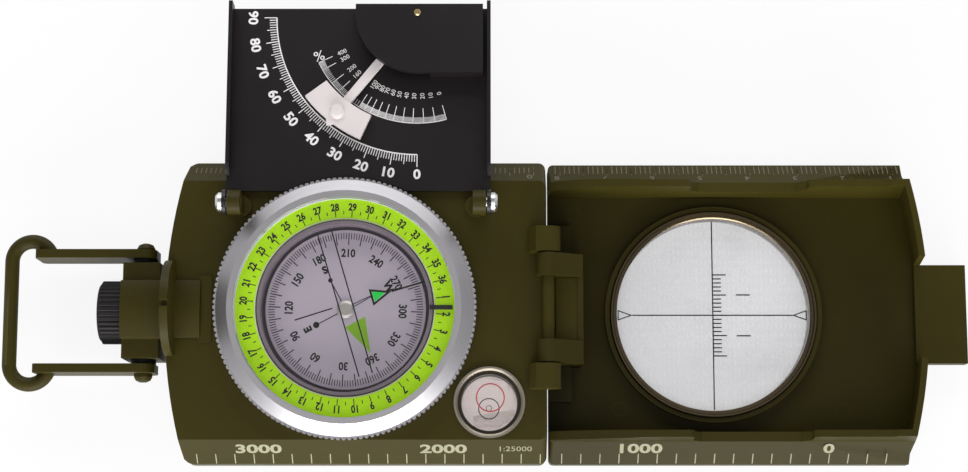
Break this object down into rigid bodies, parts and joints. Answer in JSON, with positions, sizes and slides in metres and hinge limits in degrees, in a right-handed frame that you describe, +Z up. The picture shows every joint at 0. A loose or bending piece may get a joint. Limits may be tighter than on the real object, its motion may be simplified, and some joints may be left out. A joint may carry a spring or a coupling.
{
  "type": "folding sighting compass",
  "caption": "Folding metal pocket compass with a turning bezel, windowed lid, swing-out slope gauge, spirit level, focusing eyepiece and thumb bow, shown open.",
  "frame": {"origin": "on the flat underside of the case, below the dial's pivot", "axes": "+X from the dial towards the opened lid, +Y towards the opened clinometer, +Z up out of the dial"},
  "size_m": [0.2018, 0.0963, 0.025],
  "materials": {
    "olive_paint": "baked olive paint with a fine grain, worn lighter on the edges",
    "black_paint": "satin black paint on sheet",
    "satin_aluminium": "machined and satin anodised",
    "bare_steel": "plain plated steel",
    "brass": "plain brass",
    "bronze_ring": "dark turned brass, lacquered",
    "black_plastic": "moulded, satin",
    "rubber_black": "plain",
    "clear_glass": "polished",
    "luminous_green": "luminous paint with printed numbers",
    "card_grey": "matte light grey with printed scale",
    "white_plastic": "plain",
    "level_spirit": "clear spirit with a bubble",
    "pot_grey": "dark grey paint"
  },
  "bodies": {
    "case": {"case_body": "olive_paint", "tripod_bush": "brass", "capsule_pot": "pot_grey", "pivot_needle": "bare_steel", "index_bar": "black_plastic", "bezel_clip": "bare_steel", "level_cup": "satin_aluminium", "level_holder": "black_plastic", "level_backing": "white_plastic", "level_liquid": "level_spirit", "level_window": "clear_glass", "eyepiece_housing": "olive_paint", "housing_screws": "bare_steel", "bow_screws": "olive_paint", "bow_washers": "bare_steel", "hinge_pin": "olive_paint", "clinometer_posts": "olive_paint", "clinometer_screws": "bare_steel"},
    "bezel": {"bezel_ring": "satin_aluminium", "crystal": "clear_glass", "crystal_gasket": "rubber_black", "dial_ring": "luminous_green"},
    "card": {"compass_card": "card_grey", "card_jewel": "brass", "card_magnets": "bare_steel"},
    "knob": {"focus_knob": "black_plastic"},
    "eye_lens": {"lens_cell": "black_plastic", "eyepiece_lens": "clear_glass"},
    "bow": {"thumb_bow": "olive_paint"},
    "lid": {"lid_frame": "olive_paint", "lid_window": "clear_glass", "window_ring": "bronze_ring"},
    "clinometer": {"clinometer_plate": "black_paint", "pendulum_cover": "black_paint", "pendulum_axle": "brass"},
    "pendulum": {"pendulum": "bare_steel", "pendulum_rivet": "bare_steel"}
  },
  "joints": [
    {"name": "lid_hinge", "type": "hinge", "parent": "case", "child": "lid", "pos_m": [0.0417, 0, 0.0165], "axis": [0, -1, 0], "range_deg": [0, 180]},
    {"name": "clinometer_fold", "type": "hinge", "parent": "case", "child": "clinometer", "pos_m": [0.0025, 0.0212, 0.0202], "axis": [1, 0, 0], "range_deg": [0, 183]},
    {"name": "pendulum_swing", "type": "hinge", "parent": "clinometer", "child": "pendulum", "pos_m": [0.0146, 0.06184, 0.01406], "axis": [0, 0.0523, 0.9986], "range_deg": [-51.5, 38.5]},
    {"name": "bezel_turn", "type": "hinge", "parent": "case", "child": "bezel", "pos_m": [0, 0, 0.017], "axis": [0, 0, 1], "continuous": true},
    {"name": "card_spin", "type": "hinge", "parent": "case", "child": "card", "pos_m": [0, 0, 0.0125], "axis": [0, 0, 1], "continuous": true},
    {"name": "focus_turn", "type": "hinge", "parent": "case", "child": "knob", "pos_m": [-0.049, 0, 0.007], "axis": [1, 0, 0], "range_deg": [-135, 135]},
    {"name": "lens_slide", "type": "slide", "parent": "case", "child": "eye_lens", "axis": [1, 0, 0], "range_m": [-0.00076, 0.00076]},
    {"name": "bow_swing", "type": "hinge", "parent": "case", "child": "bow", "pos_m": [-0.0424, 0, 0.007], "axis": [0, 1, 0], "range_deg": [-90, 90]}
  ],
  "couplings": [
    {"joint": "lens_slide", "follows": "focus_turn", "m_per_rad": 0.00031831}
  ]
}
